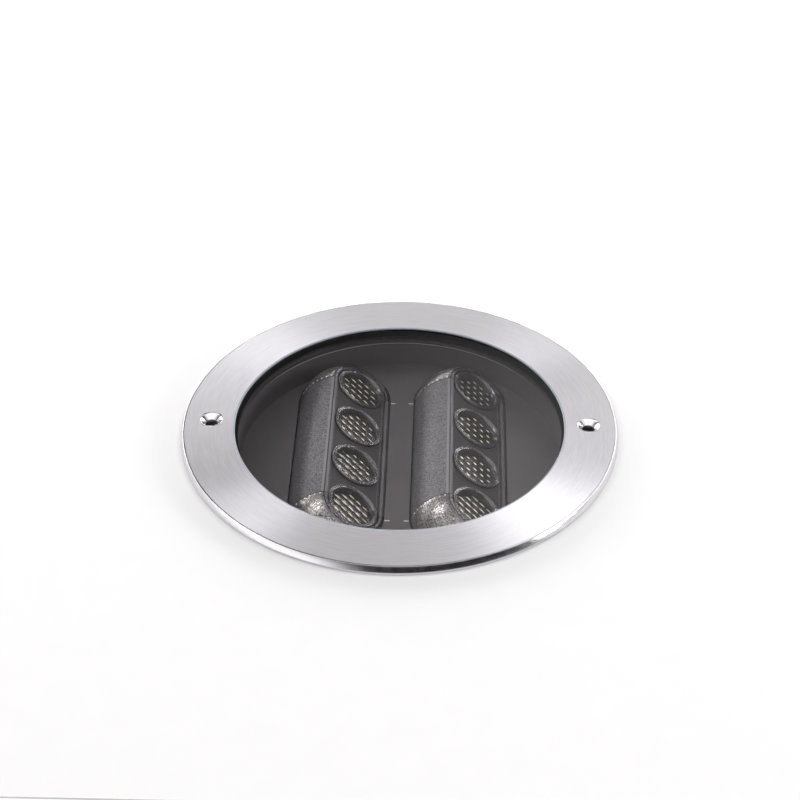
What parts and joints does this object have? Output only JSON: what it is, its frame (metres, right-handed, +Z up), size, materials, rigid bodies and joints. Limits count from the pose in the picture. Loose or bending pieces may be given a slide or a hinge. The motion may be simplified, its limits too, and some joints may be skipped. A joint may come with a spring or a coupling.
{
  "type": "in ground well light",
  "caption": "Round recessed ground light: steel trim ring, flat glass, painted cup with two tilting capsule light pods, finned housing with driver chamber and cable gland.",
  "frame": {"origin": "centre of the trim ring's underside, in the plane of the finished ground", "axes": "+Z up out of the ground, +Y to the rear along the pods, +X to the right, toward which both pods lean at rest"},
  "size_m": [0.21, 0.21, 0.108],
  "materials": {
    "stainless": "circular brushed, with a polished bevel",
    "zinc_steel": "zinc plated",
    "foam_tape": "matt closed cell foam",
    "clear_glass": "clear toughened",
    "black_silicone": "matt",
    "cast_aluminium": "shot blasted casting",
    "dark_paint": "smooth matt powder coat",
    "housing_paint": "fine textured powder coat",
    "tray_aluminium": "mill finish sheet",
    "bracket_steel": "zinc plated sheet",
    "brass": "plain turned",
    "nylon": "natural",
    "white_plastic": "fine spark texture",
    "lead_plastic": "wire insulation",
    "black_plastic": "moulded nylon",
    "pod_paint": "sparkling fine textured powder coat",
    "plate_paint": "smooth matt paint",
    "bezel_gloss": "gloss",
    "lens_clear": "clear moulding with small lens cells",
    "board_aluminium": "white solder mask",
    "led_phosphor": "silicone dome over phosphor"
  },
  "bodies": {
    "fixed_body": {"trim_ring": "stainless", "trim_screws": "zinc_steel", "glass_tape": "foam_tape", "cover_glass": "clear_glass", "glass_seal": "black_silicone", "frame_ring": "cast_aluminium", "frame_gasket": "black_silicone", "frame_screws": "zinc_steel", "baffle_cup": "dark_paint", "housing": "housing_paint", "box_gasket": "black_silicone", "driver_box": "housing_paint", "box_screws": "zinc_steel", "cooling_fins": "housing_paint", "gear_tray": "tray_aluminium", "tray_screws": "zinc_steel", "tray_grommets": "black_silicone", "earth_screw": "brass", "front_bracket": "bracket_steel", "rear_bracket": "bracket_steel", "bracket_screws": "zinc_steel", "pivot_bushes": "nylon", "driver_case": "white_plastic", "driver_screws": "zinc_steel", "terminal_block": "white_plastic", "terminal_screws": "brass", "driver_leads": "lead_plastic", "gland_body": "black_plastic", "gland_washer": "black_silicone", "gland_lock_nut": "brass", "gland_insert": "black_silicone", "gland_dome_nut": "black_plastic", "vent_body": "black_plastic", "vent_nut": "brass", "bottom_seal": "black_silicone", "bottom_cover": "housing_paint", "bottom_screws": "zinc_steel"},
    "left_pod": {"left_barrel": "pod_paint", "left_front_cap": "pod_paint", "left_rear_cap": "pod_paint", "left_cap_screws": "zinc_steel", "left_lens_plate": "plate_paint", "left_bezels": "bezel_gloss", "left_lenses": "lens_clear", "left_led_board": "board_aluminium", "left_leds": "led_phosphor", "left_pivot_pins": "zinc_steel", "left_lock_screw": "zinc_steel", "left_lead_grommet": "black_silicone"},
    "right_pod": {"right_barrel": "pod_paint", "right_front_cap": "pod_paint", "right_rear_cap": "pod_paint", "right_cap_screws": "zinc_steel", "right_lens_plate": "plate_paint", "right_bezels": "bezel_gloss", "right_lenses": "lens_clear", "right_led_board": "board_aluminium", "right_leds": "led_phosphor", "right_pivot_pins": "zinc_steel", "right_lock_screw": "zinc_steel", "right_lead_grommet": "black_silicone"}
  },
  "joints": [
    {"name": "left_pod_tilt", "type": "hinge", "parent": "fixed_body", "child": "left_pod", "pos_m": [-0.029, 0, -0.0284], "axis": [0, 1, 0], "range_deg": [-60, 0]},
    {"name": "right_pod_tilt", "type": "hinge", "parent": "fixed_body", "child": "right_pod", "pos_m": [0.029, 0, -0.0284], "axis": [0, 1, 0], "range_deg": [-60, 0]}
  ]
}
